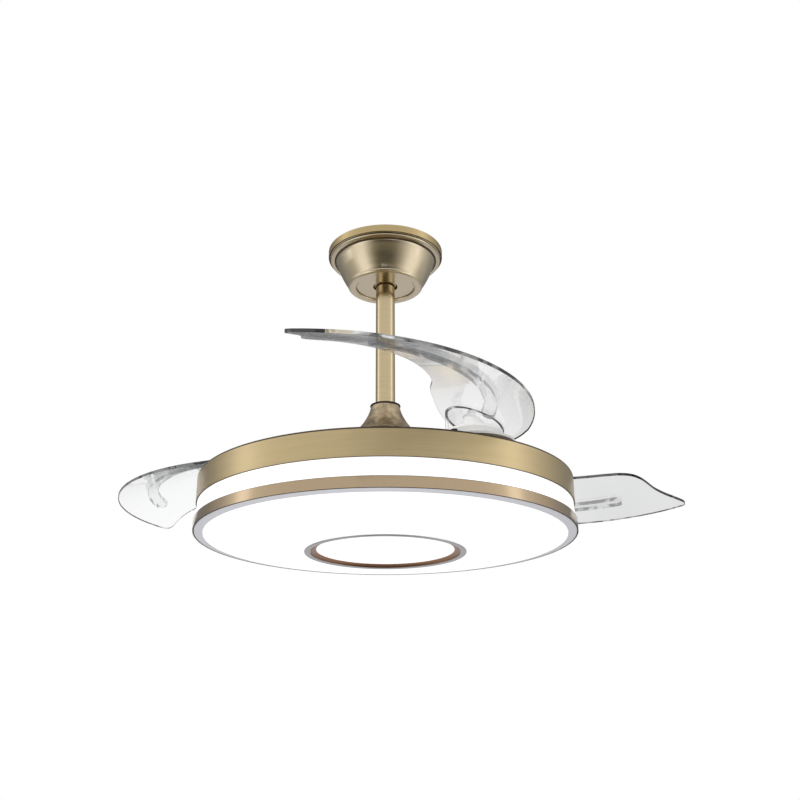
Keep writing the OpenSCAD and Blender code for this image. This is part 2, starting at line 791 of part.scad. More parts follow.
module side_diffuser() {
    top_r = band_r - 1.8;
    low_r = lamp_r - 1.7;
    low_z = ring_h - 2;
    color("white") at_lamp() rotate_extrude() polygon([
        [top_r - skin_t, chassis_z - 0.1], [top_r, chassis_z - 0.1], [top_r, band_z - 2],
        [lerp(top_r, low_r, 0.25), lerp(band_z, ring_h, 0.4)], [low_r, ring_h + 1], [low_r, low_z],
        [low_r - skin_t, low_z], [low_r - skin_t, ring_h],
        [lerp(top_r, low_r, 0.25) - skin_t, lerp(band_z, ring_h, 0.4)], [top_r - skin_t, band_z - 2]
    ]);
}

module lower_ring() {
    ri = lamp_r - 1.4;
    color("#a0876a") at_lamp() rotate_extrude() polygon([
        [ri, 0], [lamp_r - 0.4, 0], [lamp_r, 0.4], [lamp_r, ring_h - 0.4], [lamp_r - 0.4, ring_h],
        [ri, ring_h], [ri, ring_h - 2.3], [ri - 5, ring_h - 2.3], [ri - 5, ring_h - 3.8],
        [ri, ring_h - 3.8]
    ]);
}

module bottom_rim() {
    ro = lamp_r - 1.4 - seat / 2;
    color("lightgray") at_lamp() rotate_extrude() polygon([
        [dome_r, 0.4 - rim_drop], [dome_r + 0.6, -rim_drop], [ro, 0.2], [ro, ring_h - 4.1],
        [ro - 2, ring_h - 4.1], [ro - 2, 1.6], [dome_r, 1.6]
    ]);
}

// Height of the bottom diffuser's outside, a shallow bowl
function dome_z(r) = -rim_drop - dome_h * (1 - (r / dome_r) * (r / dome_r));
dome_steps = 16;
dome_line = [for (i = [0 : dome_steps]) let (r = lerp(well_r, dome_r, i / dome_steps)) [r, dome_z(r)]];

module bottom_diffuser() {
    color("white") at_lamp() rotate_extrude() polygon(concat(
        [for (p = dome_line) p + [-seat * (p[0] - well_r) / (dome_r - well_r), 0]],
        [[dome_r - seat, 1.9], [dome_r + 6, 1.9], [dome_r + 6, 3.5], [dome_r - 2, 3.5]],
        [for (p = reversed(dome_line)) if (p[0] < dome_r - 4) p + [0, skin_t]]
    ));
}

well_low = dome_z(well_r);
wall_r = well_r - 7;
wall_t = 1.6;
wall_top = 4;
lip_w = 7;
centre_z = well_low + well_depth;

module well_bezel() {
    t = 1.2;
    z = well_low - seat;
    color("silver") at_lamp() rotate_extrude() polygon([
        [well_r + 1.5, z], [well_r + 1.5, z - 0.6], [well_r + 0.9, z - t],
        [wall_r + 0.9, z - t + 0.6], [wall_r + seat, z - 0.1], [wall_r + seat, z + 0.7],
        [well_r - 2.1, z + 0.7], [well_r - 2.1, z + 4], [well_r - 0.6, z + 4], [well_r - 0.6, z]
    ]);
}

// The wall's cone leads up to the lip that the centre diffuser lies on
module well_wall() {
    color("#8a5a44") at_lamp() rotate_extrude() polygon([
        [wall_r - 0.5, well_low - 0.7], [wall_r, well_low - 0.3], [wall_r, wall_top - 1.4],
        [wall_r + 9, wall_top - 1.4], [wall_r + 9, wall_top], [wall_r - wall_t, wall_top],
        [wall_r - wall_t, centre_z - 0.1], [wall_r - lip_w, centre_z - 0.1],
        [wall_r - lip_w, centre_z - 0.7]
    ]);
}

module centre_diffuser() {
    color("white") at_lamp() rod(wall_r - wall_t - seat, centre_z, centre_z + skin_t);
}

module led_board() {
    color("whitesmoke") at_lamp() tube(dome_r - 1, 20, board_z, board_z + board_t);
}

module led_chips() {
    color("khaki") at_lamp() for (row = [[0.25, 12], [0.63, 24], [0.865, 36]])
        around(row[1], row[0] * dome_r) translate([-chip / 2, -chip / 2, board_z - 1.1])
            cube([chip, chip, 1.1]);
}

module board_spacers() {
    color("silver") at_lamp() {
        around(3, dome_r - 15, 90) rod(4, board_z + board_t, chassis_z);
        around(3, wall_r + 4.5, 90) rod(3, wall_top, board_z);
    }
}

module led_driver() {
    color("white") at_lamp() translate([driver_x, -driver_size[1] / 2, driver_z]) difference() {
        cube(driver_size);
        for (x = [8, driver_size[0] - 8]) translate([x, driver_size[1] / 2, -1]) cylinder(r = 2, h = 6);
    }
}

hanger_bracket();
terminal_block();
receiver_box();
canopy();
canopy_trim_ring();
canopy_base_disc();
canopy_screws();
hanger_ball();
ball_cross_pin();
downrod();
supply_lead();
lead_connector();
rod_gasket();
yoke_cover();
yoke_coupling();
clevis_pin();
cotter_pin();
yoke_set_screws();
motor_shaft();
shaft_spacers();
bearing_inner_races();
stator_core();
stator_coils();
lamp_hub();
lamp_hub_screws();
shaft_nut();
lamp_chassis();
chassis_spacers();
top_deck();
upper_band();
side_diffuser();
lower_ring();
bottom_rim();
bottom_diffuser();
well_bezel();
well_wall();
centre_diffuser();
led_board();
led_chips();
board_spacers();
led_driver();
rotor_cup();
rotor_cover();
rotor_magnets();
rotor_screws();
bearing_outer_races();
bearing_balls();
blade_carrier();
carrier_screws();
pivot_bolts();
pivot_nuts();
return_springs();
stop_bumpers();
blade(0);  // blade_1
blade(1);  // blade_2
blade(2);  // blade_3
blade_bush(0);  // blade_bush_1
blade_bush(1);  // blade_bush_2
blade_bush(2);  // blade_bush_3
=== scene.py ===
"""Dresses the ceiling fan: brushed brass canopy, rod and drum, opal lamp, clear fold-in blades."""

import json
import math

import bmesh
import bpy
from bpy.props import FloatProperty, FloatVectorProperty, IntProperty, PointerProperty
from mathutils import Matrix, Vector

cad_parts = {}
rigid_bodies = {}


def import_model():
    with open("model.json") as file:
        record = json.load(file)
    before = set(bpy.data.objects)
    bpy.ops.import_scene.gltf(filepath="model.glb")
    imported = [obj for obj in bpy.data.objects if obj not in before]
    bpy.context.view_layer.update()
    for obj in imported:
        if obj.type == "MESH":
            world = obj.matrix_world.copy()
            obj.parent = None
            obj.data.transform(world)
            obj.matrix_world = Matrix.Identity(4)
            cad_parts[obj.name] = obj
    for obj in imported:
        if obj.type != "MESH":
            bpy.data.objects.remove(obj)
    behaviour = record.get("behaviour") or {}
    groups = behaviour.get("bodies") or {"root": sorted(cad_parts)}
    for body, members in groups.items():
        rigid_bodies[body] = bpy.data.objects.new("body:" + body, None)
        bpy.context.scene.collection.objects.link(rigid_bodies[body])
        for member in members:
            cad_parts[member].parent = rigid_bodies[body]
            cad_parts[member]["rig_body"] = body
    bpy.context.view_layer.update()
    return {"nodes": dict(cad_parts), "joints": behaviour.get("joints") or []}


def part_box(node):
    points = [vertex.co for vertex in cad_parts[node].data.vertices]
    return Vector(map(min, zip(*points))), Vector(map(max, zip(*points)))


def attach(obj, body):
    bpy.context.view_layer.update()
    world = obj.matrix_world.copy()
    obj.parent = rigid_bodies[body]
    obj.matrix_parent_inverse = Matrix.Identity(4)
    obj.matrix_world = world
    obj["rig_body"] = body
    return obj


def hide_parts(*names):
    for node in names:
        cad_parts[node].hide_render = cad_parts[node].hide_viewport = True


bl_info = {
    "name": "Fold-in Blade Ceiling Fan",
    "version": (1, 0, 0),
    "blender": (4, 5, 0),
    "location": "View3D > Sidebar > Ceiling Fan",
    "description": "Dresses a ceiling fan with clear fold-in blades and a round opal lamp",
    "category": "Object",
}

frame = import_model()
NODES = frame["nodes"]
BLADE_JOINTS = [joint for joint in frame["joints"] if joint["child"].startswith("blade_")]
MM = 0.001
UP = Vector((0, 0, 1))
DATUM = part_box("lower_ring")[0].z  # bottom edge of the lower ring, in metres
MERGE = 1e-6  # points closer than this become one
CORNER = math.radians(28)  # edges that turn more than this are rounded
CREASE = math.radians(42)  # edges that turn more than this are shaded as sharp


def reach(node):
    """Outer radius, bottom and top, in mm, of a CAD node that is round about the fan's axis."""
    low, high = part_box(node)
    return high.x / MM, low.z / MM, high.z / MM


# ---- settings ----

class FanSizes(bpy.types.PropertyGroup):
    """Sizes that the looks add to the frame."""

    facets: IntProperty(name="Facets", description="Steps in a full turn", default=192, min=48)
    edge_round: FloatProperty(
        name="Edge Round", description="Radius on the metal pieces' edges",
        default=0.0004, unit="LENGTH")
    blade_edge_round: FloatProperty(
        name="Blade Edge Round", description="Radius on the blades' edges",
        default=0.0013, unit="LENGTH")
    pivot_radius: FloatProperty(
        name="Pivot Radius", description="Distance of a blade's pivot from the fan's axis",
        default=math.hypot(*BLADE_JOINTS[0]["pos_m"][:2]), unit="LENGTH")
    blade_outer: FloatProperty(
        name="Blade Outer Radius", description="Outer radius of the folded blades",
        default=0.248, unit="LENGTH")
    blade_inner: FloatProperty(
        name="Blade Inner Radius", description="Inner radius of the folded blades",
        default=0.134, unit="LENGTH")
    blade_height: FloatProperty(
        name="Blade Height", description="Underside of a blade at its outer edge, over the datum",
        default=0.086, unit="LENGTH")
    blade_rise: FloatProperty(
        name="Blade Rise", description="Climb of a blade towards its inner edge", default=0.37)
    blade_thick: FloatProperty(
        name="Blade Thickness", description="Thickness of a blade", default=0.004, unit="LENGTH")
    rib_width: FloatProperty(
        name="Rib Width", description="Width of the rib under a blade",
        default=0.0145, unit="LENGTH")
    rib_height: FloatProperty(
        name="Rib Height", description="Height of the rib under a blade",
        default=0.005, unit="LENGTH")
    boss_radius: FloatProperty(
        name="Boss Radius", description="Outer radius of a blade's hollow boss",
        default=0.035, unit="LENGTH")
    open_angle: FloatProperty(
        name="Open Angle", description="Swing of a blade from folded to open",
        default=math.radians(73), unit="ROTATION")


class FanFinishes(bpy.types.PropertyGroup):
    """Colours of the fan's finishes."""

    brass: FloatVectorProperty(
        name="Brass", description="Brushed antique brass", size=3, subtype="COLOR",
        default=(0.48, 0.365, 0.175))
    bronze: FloatVectorProperty(
        name="Bronze", description="Aged bronze of the yoke cover", size=3, subtype="COLOR",
        default=(0.43, 0.34, 0.22))
    champagne: FloatVectorProperty(
        name="Champagne", description="Satin lower ring", size=3, subtype="COLOR",
        default=(0.38, 0.258, 0.12))
    copper: FloatVectorProperty(
        name="Copper Brown", description="Wall of the lamp's well", size=3, subtype="COLOR",
        default=(0.30, 0.14, 0.06))
    rim: FloatVectorProperty(
        name="Rim Grey", description="Flat rim round the bottom diffuser", size=3,
        subtype="COLOR", default=(0.74, 0.74, 0.78))
    opal: FloatVectorProperty(
        name="Opal", description="Lit diffusers", size=3, subtype="COLOR",
        default=(0.93, 0.93, 0.94))
    opal_glow: FloatProperty(
        name="Opal Glow", description="Light given off by the diffusers", default=0.45)
    acrylic: FloatVectorProperty(
        name="Acrylic", description="Tint of the clear blades", size=3, subtype="COLOR",
        default=(0.92, 0.923, 0.927))


class FanStage(bpy.types.PropertyGroup):
    """Camera and lights."""

    camera_place: FloatVectorProperty(
        name="Camera Place", description="Where the camera stands", size=3,
        subtype="TRANSLATION", default=(0.0, -1.300, -0.7198))
    camera_tilt: FloatProperty(
        name="Camera Tilt", description="How far the camera looks up",
        default=math.radians(20.65), unit="ROTATION")
    camera_shift: FloatProperty(
        name="Camera Shift", description="Sideways shift that puts the fan left of the middle",
        default=0.0183)
    camera_lens: FloatProperty(
        name="Camera Lens", description="Focal length in millimetres", default=45.2)
    key_power: FloatProperty(
        name="Key Power", description="Power of the large key lamp", default=16.0, unit="POWER")
    fill_power: FloatProperty(
        name="Fill Power", description="Power of the fill lamp", default=9.0, unit="POWER")
    sky: FloatProperty(name="Sky", description="Even light from all around", default=0.75)


def sizes():
    return bpy.context.scene.fan_sizes


def finishes():
    return bpy.context.scene.fan_finishes


def stage():
    return bpy.context.scene.fan_stage


# ---- materials ----

class Value:
    """A shader socket that can stand in a sum."""

    def __init__(self, finish, socket):
        self.finish = finish
        self.socket = socket

    def math(self, operation, other, swapped=False):
        pair = (other, self) if swapped else (self, other)
        return self.finish.use("Math", {"operation": operation}, dict(enumerate(pair)))

    def __add__(self, other):
        return self.math("ADD", other)

    __radd__ = __add__

    def __mul__(self, other):
        return self.math("MULTIPLY", other)

    __rmul__ = __mul__

    def __sub__(self, other):
        return self.math("SUBTRACT", other)

    def __rsub__(self, other):
        return self.math("SUBTRACT", other, swapped=True)


class Finish:
    """A material, or the world, put together node by node."""

    def __init__(self, owner):
        owner.use_nodes = True
        self.owner = owner
        self.tree = owner.node_tree
        self.tree.nodes.clear()

    def use(self, kind, settings=None, values=None, output=0):
        """Adds a node: its settings come first, then the values or links of its sockets."""
        node = self.tree.nodes.new("ShaderNode" + kind)
        for name, setting in (settings or {}).items():
            if name == "stops":
                self.set_stops(node.color_ramp, setting)
            else:
                setattr(node, name, setting)
        for name, value in (values or {}).items():
            if isinstance(value, Value):
                self.tree.links.new(value.socket, node.inputs[name])
            else:
                node.inputs[name].default_value = value
        return Value(self, node.outputs[output]) if node.outputs else None

    @staticmethod
    def set_stops(ramp, stops):
        """A stop is a place and a grey level."""
        while len(ramp.elements) < len(stops):
            ramp.elements.new(0.5)
        for element, (place, level) in zip(ramp.elements, stops):
            element.position = place
            element.color = (level, level, level, 1)

    def place(self, scale=(1, 1, 1)):
        """Where a point lies on its piece, in metres, with each axis scaled."""
        where = self.use("TexCoord", output=3)
        return self.use("Mapping", values={"Vector": where, "Scale": scale})

    def noise(self, scale, stretch=(1, 1, 1), detail=3.0, roughness=0.5, distortion=0.0):
        return self.use("TexNoise", values={
            "Vector": self.place(stretch), "Scale": scale, "Detail": detail,
            "Roughness": roughness, "Distortion": distortion})

    def ramp(self, factor, stops):
        return self.use("ValToRGB", {"stops": stops}, {0: factor})

    def mix(self, factor, first, second):
        """Colour between two colours."""
        return self.use("Mix", {"data_type": "RGBA"},
                        {0: factor, 6: with_alpha(first), 7: with_alpha(second)}, output=2)

    def bump(self, height, strength, distance):
        """Unevenness that is a distance deep, in metres, at full strength."""
        return self.use("Bump", values={
            "Strength": strength, "Distance": distance, "Height": height})

    def surface(self, values):
        """Ends the material in one Principled shader."""
        for name in ("Base Color", "Emission Color"):
            if name in values:
                values[name] = with_alpha(values[name])
        shader = self.use("BsdfPrincipled", values=values)
        self.use("OutputMaterial", values={"Surface": shader})
        return self.owner


def with_alpha(colour):
    return colour if isinstance(colour, Value) else (*colour[:3], 1)


def times(colour, factor):
    return tuple(part * factor for part in colour)


MADE = {}


def material(recipe, *choices):
    """The material that a recipe makes, made once."""
    key = "_".join([recipe.__name__, *choices])
    if key not in MADE:
        MADE[key] = recipe(Finish(bpy.data.materials.new(key)), *choices)
    return MADE[key]


# weight and roughness of the clear lacquer, and roughness of the brass under it
LACQUERS = {
    "canopy": (1.0, 0.12, 0.26),
    "rod": (0.55, 0.12, 0.16),
    "drum": (0.3, 0.3, 0.27),
    "trim": (0.1, 0.12, 0.3),
}


def brushed_brass(finish, part):
    """Antique brass brushed round the axis under clear lacquer, with clouds of darker lacquer."""
    lacquer, haze, roughness = LACQUERS[part]
    colour = finishes().brass
    hair = finish.noise(1.0, stretch=(6, 6, 620), detail=3, roughness=0.7)
    strand = finish.noise(1.0, stretch=(8, 8, 170), detail=2, roughness=0.6)
    cloud = finish.noise(7.0, stretch=(1, 1, 2.4), detail=4, roughness=0.55)
    lines = hair * 0.5 + strand * 0.5
    tone = finish.ramp(lines, [(0.35, 0.0), (0.65, 1.0)])
    worn = finish.ramp(cloud, [(0.38, 0.0), (0.7, 1.0)])
    base = finish.mix(tone, times(colour, 0.93), times(colour, 1.05))
    base = finish.mix(worn * 0.2, base, (colour[0] * 0.8, colour[1] * 0.8, colour[2] * 0.72))
    return finish.surface({
        "Base Color": base, "Metallic": 1.0, "Roughness": lines * 0.12 + roughness,
        "Coat Weight": lacquer, "Coat IOR": 2.6, "Coat Roughness": haze,
        "Normal": finish.bump(lines, 0.07, 0.0001)})


def dark_patina(finish):
    """Blackened brass, as the antique finish leaves it in grooves and along edges, and laid on more
    widely as painted shade in those grooves, creases and edges.
    """
    grain = finish.noise(300, detail=2)
    base = finish.mix(grain, (0.035, 0.026, 0.015), (0.075, 0.055, 0.032))
    return finish.surface({
        "Base Color": base, "Metallic": 0.3, "Roughness": grain * 0.1 + 0.45})


def aged_bronze(finish):
    """Cast bronze with brown and grey patina."""
    colour = finishes().bronze
    patch = finish.noise(95, detail=6, roughness=0.65, distortion=0.6)
    speck = finish.noise(620, detail=3, roughness=0.6)
    tone = finish.ramp(patch, [(0.34, 0.0), (0.66, 1.0)])
    base = finish.mix(tone, times(colour, 0.55), times(colour, 1.35))
    base = finish.mix(finish.ramp(speck, [(0.55, 0.0), (0.75, 1.0)]) * 0.4, base,
                      (0.50, 0.42, 0.33))
    return finish.surface({
        "Base Color": base, "Metallic": 0.9, "Roughness": patch * 0.35 + 0.2,
        "Normal": finish.bump(patch + speck * 0.4, 0.25, 0.0004)})


def satin_champagne(finish):
    """Fine satin anodised ring."""
    colour = finishes().champagne
    grain = finish.noise(1500, detail=2, roughness=0.7)
    haze = finish.noise(6, detail=3)
    base = finish.mix(grain, times(colour, 0.9), times(colour, 1.08))
    base = finish.mix(haze * 0.3, base, times(colour, 0.75))
    return finish.surface({
        "Base Color": base, "Metallic": 1.0, "Roughness": grain * 0.08 + 0.13,
        "Coat Weight": 0.56, "Coat IOR": 2.6, "Coat Roughness": 0.08,
        "Normal": finish.bump(grain, 0.08, 0.0001)})


def opal_plastic(finish):
    """Milky diffuser, lit from behind."""
    colour = finishes().opal
    cloud = finish.noise(14, detail=2)
    base = finish.mix(cloud, times(colour, 0.985), colour)
    return finish.surface({
        "Base Color": base, "Roughness": cloud * 0.06 + 0.3, "Specular IOR Level": 0.35,
        "Emission Color": base, "Emission Strength": finishes().opal_glow})


def satin_rim(finish):
    """Pale grey lacquer."""
    colour = finishes().rim
    grain = finish.noise(900, detail=2)
    base = finish.mix(grain, times(colour, 0.96), times(colour, 1.04))
    return finish.surface({
        "Base Color": base, "Metallic": 0.35, "Roughness": grain * 0.1 + 0.32,
        "Normal": finish.bump(grain, 0.05, 0.0001)})


def copper_wall(finish):
    """Copper-brown metallic lacquer over fine turned lines."""
    colour = finishes().copper
    grain = finish.noise(1.0, stretch=(20, 20, 900), detail=3)
    base = finish.mix(grain, times(colour, 0.8), times(colour, 1.2))
    return finish.surface({
        "Base Color": base, "Metallic": 0.8, "Roughness": grain * 0.15 + 0.25,
        "Coat Weight": 0.1, "Coat Roughness": 0.1})


def bezel_grey(finish):
    """Satin grey metal of the well's bevel."""
    grain = finish.noise(1.0, stretch=(20, 20, 700), detail=3)
    base = finish.mix(grain, (0.42, 0.40, 0.41), (0.55, 0.53, 0.54))
    return finish.surface({
        "Base Color": base, "Metallic": 0.9, "Roughness": grain * 0.15 + 0.28})


def clear_acrylic(finish):
    """Polished, faintly tinted moulding with a slight sag in its surface."""
    swell = finish.noise(5, detail=1, roughness=0.4, distortion=0.4)
    return finish.surface({
        "Base Color": finishes().acrylic, "Roughness": 0.02, "IOR": 1.49,
        "Transmission Weight": 1.0,
        "Normal": finish.bump(swell, 0.1, 0.003)})


def clear_moulding(finish):
    """The same plastic where it is thin, in the rib and boss: only its outlines show, as painted
    shade, grey where the surface turns away from the eye.
    """
    grain = finish.noise(60, detail=1)
    slant = finish.use("LayerWeight", values={"Blend": 0.5}, output="Facing")
    outline = finish.ramp(slant, [(0.0, 0.05), (0.72, 0.06), (0.88, 0.3), (1.0, 0.8)])
    return finish.surface({
        "Base Color": (0.42, 0.43, 0.44), "Roughness": grain * 0.02 + 0.03, "IOR": 1.49,
        "Alpha": outline})


def acrylic_edge(finish):
    """Edge of the moulding, where the light breaks into dark and bright runs: these are painted
    into its colour as painted reflections.
    """
    dark, dim, bright = 0.04, 0.09, 0.97
    run = finish.noise(24, detail=1, roughness=0.4, distortion=0.5)
    fleck = finish.noise(150, detail=1)
    tone = finish.ramp(run * 0.93 + fleck * 0.07, [
        (0.0, dark / 2), (0.38, dark), (0.42, 0.7), (0.45, bright), (0.565, bright),
        (0.58, dim), (0.61, dim), (0.63, bright)])
    return finish.surface({
        "Base Color": tone, "Roughness": 0.06, "IOR": 1.49, "Transmission Weight": 0.85})


# grey level of a painted dark line in the moulding, and how much it covers at least and at most
LINES = {"edge": (0.035, 0.3, 0.95), "rib": (0.16, 0.08, 0.65)}


def moulding_line(finish, part):
    """Where the moulding turns sharply, it bends the light away and shows a dark, broken line,
    which is painted here as painted shade.
    """
    level, least, most = LINES[part]
    run = finish.noise(34, detail=2, roughness=0.6, distortion=0.4)
    return finish.surface({
        "Base Color": (level, level * 1.03, level * 1.1), "Roughness": run * 0.1 + 0.1,
        "IOR": 1.49,
        "Alpha": finish.ramp(run, [(0.36, least), (0.46, most), (0.56, most), (0.66, least)])})


def zinc_steel(finish):
    """Bright zinc with a faint spangle."""
    spangle = finish.noise(260, detail=3, roughness=0.6)
    base = finish.mix(spangle, (0.50, 0.51, 0.53), (0.66, 0.67, 0.69))
    return finish.surface({
        "Base Color": base, "Metallic": 1.0, "Roughness": spangle * 0.2 + 0.22,
        "Normal": finish.bump(spangle, 0.06, 0.0002)})


def pale_nickel(finish):
    """Pale satin nickel plate."""
    haze = finish.noise(40, detail=2)
    base = finish.mix(haze, (0.84, 0.84, 0.85), (0.92, 0.92, 0.92))
    return finish.surface({
        "Base Color": base, "Metallic": 0.2, "Roughness": haze * 0.1 + 0.25})


def dark_steel(finish):
    """Blackened or laminated steel."""
    layers = finish.noise(1.0, stretch=(3, 3, 1500), detail=2)
    base = finish.mix(layers, (0.05, 0.05, 0.055), (0.14, 0.14, 0.15))
    return finish.surface({
        "Base Color": base, "Metallic": 0.8, "Roughness": layers * 0.2 + 0.35})


def copper_winding(finish):
    """Enamelled wire lying in turns."""
    turns = finish.use("TexWave", {"wave_type": "BANDS", "bands_direction": "Z"}, {
        "Vector": finish.place(), "Scale": 320.0, "Distortion": 0.6, "Detail": 1.0})
    base = finish.mix(turns, (0.28, 0.09, 0.03), (0.70, 0.32, 0.12))
    return finish.surface({
        "Base Color": base, "Metallic": 0.85, "Roughness": 0.3,
        "Normal": finish.bump(turns, 0.5, 0.0004)})


def black_rubber(finish):
    """Matt rubber with a fine tooth."""
    tooth = finish.noise(1400, detail=2)
    base = finish.mix(tooth, (0.012, 0.012, 0.013), (0.03, 0.03, 0.032))
    return finish.surface({
        "Base Color": base, "Roughness": tooth * 0.2 + 0.6, "Specular IOR Level": 0.2,
        "Normal": finish.bump(tooth, 0.1, 0.0002)})


PLASTICS = {
    "white": (0.82, 0.82, 0.80),
    "ivory": (0.80, 0.77, 0.68),
    "yellow": (0.85, 0.62, 0.12),
    "grey": (0.62, 0.63, 0.64),
}


def moulded_plastic(finish, shade):
    """Spark-eroded moulding in one colour."""
    colour = PLASTICS[shade]
    texture = finish.noise(1100, detail=2)
    base = finish.mix(texture, times(colour, 0.93), colour)
    return finish.surface({
        "Base Color": base, "Roughness": texture * 0.15 + 0.4,
        "Normal": finish.bump(texture, 0.08, 0.0001)})


def milky_nylon(finish):
    """Natural nylon. A faint glow stands in for the light that passes through it."""
    texture = finish.noise(1100, detail=2)
    base = finish.mix(texture, (0.90, 0.90, 0.89), (0.96, 0.96, 0.95))
    return finish.surface({
        "Base Color": base, "Roughness": texture * 0.15 + 0.4,
        "Emission Color": base, "Emission Strength": 0.3})


def solder_mask(finish):
    """White board with faint lanes of track."""
    lanes = finish.use("TexVoronoi", {"feature": "DISTANCE_TO_EDGE"}, {
        "Vector": finish.place(), "Scale": 45.0})
    tone = finish.ramp(lanes, [(0.02, 0.0), (0.05, 1.0)])
    base = finish.mix(tone, (0.74, 0.75, 0.74), (0.88, 0.88, 0.86))
    return finish.surface({"Base Color": base, "Roughness": tone * 0.1 + 0.35})


# ---- mesh helpers ----

def sharp_edges(bm, least=CORNER):
    return [e for e in bm.edges if e.is_manifold and e.calc_face_angle(0.0) > least]


def soften(bm, width, segments=2, edges=None):
    """Rounds the sharp edges."""
    if width > 0:
        bmesh.ops.bevel(
            bm, geom=sharp_edges(bm) if edges is None else edges, offset=width,
            offset_type="OFFSET", segments=segments, profile=0.5, affect="EDGES", material=-1,
            clamp_overlap=True)


def spun_mesh(outline, closed=True, steps=None, centre=(0, 0, 0)):
    """Turns an outline, given as (radius, height) in metres, about an upright axis."""
    bm = bmesh.new()
    middle = Vector(centre)
    points = [bm.verts.new(middle + Vector((r, 0, z))) for r, z in outline]
    pairs = zip(points, points[1:] + points[:1]) if closed else zip(points, points[1:])
    edges = [bm.edges.new(pair) for pair in pairs]
    bmesh.ops.spin(
        bm, geom=points + edges, cent=middle, axis=UP, angle=math.tau,
        steps=steps or sizes().facets, use_merge=True)
    bmesh.ops.remove_doubles(bm, verts=bm.verts, dist=MERGE)
    bmesh.ops.recalc_face_normals(bm, faces=bm.faces)
    return bm


def make_piece(name, bm, body, materials, replaces=()):
    """Turns a mesh into a piece that rides on a body."""
    mesh = bpy.data.meshes.new(name)
    bm.to_mesh(mesh)
    bm.free()
    mesh.shade_smooth()
    mesh.set_sharp_from_angle(angle=CREASE)
    piece = bpy.data.objects.new(name, mesh)
    bpy.context.scene.collection.objects.link(piece)
    for finish in materials:
        mesh.materials.append(finish)
    weights = piece.modifiers.new("Even Faces", "WEIGHTED_NORMAL")
    weights.keep_sharp = True
    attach(piece, body)
    if replaces:
        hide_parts(*replaces)


def spun_piece(name, outline, body, finish, replaces=(), closed=True, rounding=None,
               edging=None, edged=None):
    """A turned piece, with its outline and the rounding of its edges in mm. A face gets the
    edging where edged says so of its middle's radius and height in mm."""
    bm = spun_mesh(metres(outline), closed)
    soften(bm, sizes().edge_round if rounding is None else rounding * MM)
    materials = [finish]
    if edging:
        materials.append(edging)
        for face in bm.faces:
            middle = face.calc_center_median()
            if edged(middle.xy.length / MM, middle.z / MM):
                face.material_index = 1
    make_piece(name, bm, body, materials, replaces)


def softened_piece(name, node, finish):
    """A copy of a CAD node with its edges rounded."""
    bm = bmesh.new()
    bm.from_mesh(NODES[node].data)
    bmesh.ops.remove_doubles(bm, verts=bm.verts, dist=MERGE)
    bmesh.ops.dissolve_limit(
        bm, angle_limit=math.radians(0.5), verts=bm.verts, edges=bm.edges)
    soften(bm, sizes().edge_round)
    make_piece(name, bm, NODES[node]["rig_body"], [finish], [node])


def arc(centre, radius, start, end, steps):
    """Points on an arc in an outline, from one angle to another in degrees."""
    angles = [math.radians(start + (end - start) * i / steps) for i in range(steps + 1)]
    return [(centre[0] + radius * math.cos(a), centre[1] + radius * math.sin(a)) for a in angles]


def smooth_line(points, steps):
    """A smooth curve through the points."""
    line = []
    last = len(points) - 1
    for i in range(last):
        before, here = Vector(points[max(i - 1, 0)]), Vector(points[i])
        there, after = Vector(points[i + 1]), Vector(points[min(i + 2, last)])
        for k in range(steps):
            t = k / steps
            line.append(0.5 * (
                2 * here + (there - before) * t
                + (2 * before - 5 * here + 4 * there - after) * t * t
                + (3 * here - before - 3 * there + after) * t ** 3))
    return [tuple(point) for point in line] + [tuple(points[-1])]


def metres(points):
    """Points given in mm, in metres."""
    return [(x * MM, y * MM) for x, y in points]


# ---- canopy and rod ----

def canopy_outside():
    """The canopy's stepped rim at the ceiling and the slope below it, in mm."""
    rim = [(80, -0.5), (80, -10.2), (79.2, -10.8), (78.2, -11.3), (78, -11.9), (78.3, -12.4),
           (79.3, -12.7), (79.6, -13.2), (79.6, -14.3), (79.2, -14.9), (78.2, -15.3), (77, -15.5),
           (74, -15.7), (72.6, -15.9)]
    slope = [(71.6, -16.5), (69.8, -18.7), (67.3, -26), (64.6, -33.5), (61.4, -40.3),
             (57.9, -46.8), (54.9, -51.6), (53.9, -53.6)]
    return rim, smooth_line(slope, 5)


